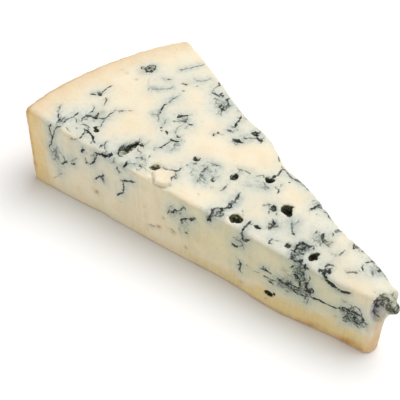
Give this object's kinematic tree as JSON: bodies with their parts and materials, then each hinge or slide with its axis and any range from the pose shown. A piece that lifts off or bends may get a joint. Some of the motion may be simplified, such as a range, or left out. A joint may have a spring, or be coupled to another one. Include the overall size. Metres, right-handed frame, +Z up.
{
  "type": "blue cheese wedge",
  "caption": "Wedge of veined blue cheese, rind on its wide curved end, flat base, blunt crumbly tip, mould holes in its top and cut faces.",
  "frame": {"origin": "bottom centre of the bounding box, on the face that the wedge rests on", "axes": "+X from the rind to the pointed tip, +Z up, +Y toward the back cut"},
  "size_m": [0.1404, 0.0692, 0.0323],
  "materials": {
    "cheese_paste": null
  },
  "bodies": {
    "root": {"cheese_wedge": "cheese_paste"}
  },
  "joints": []
}
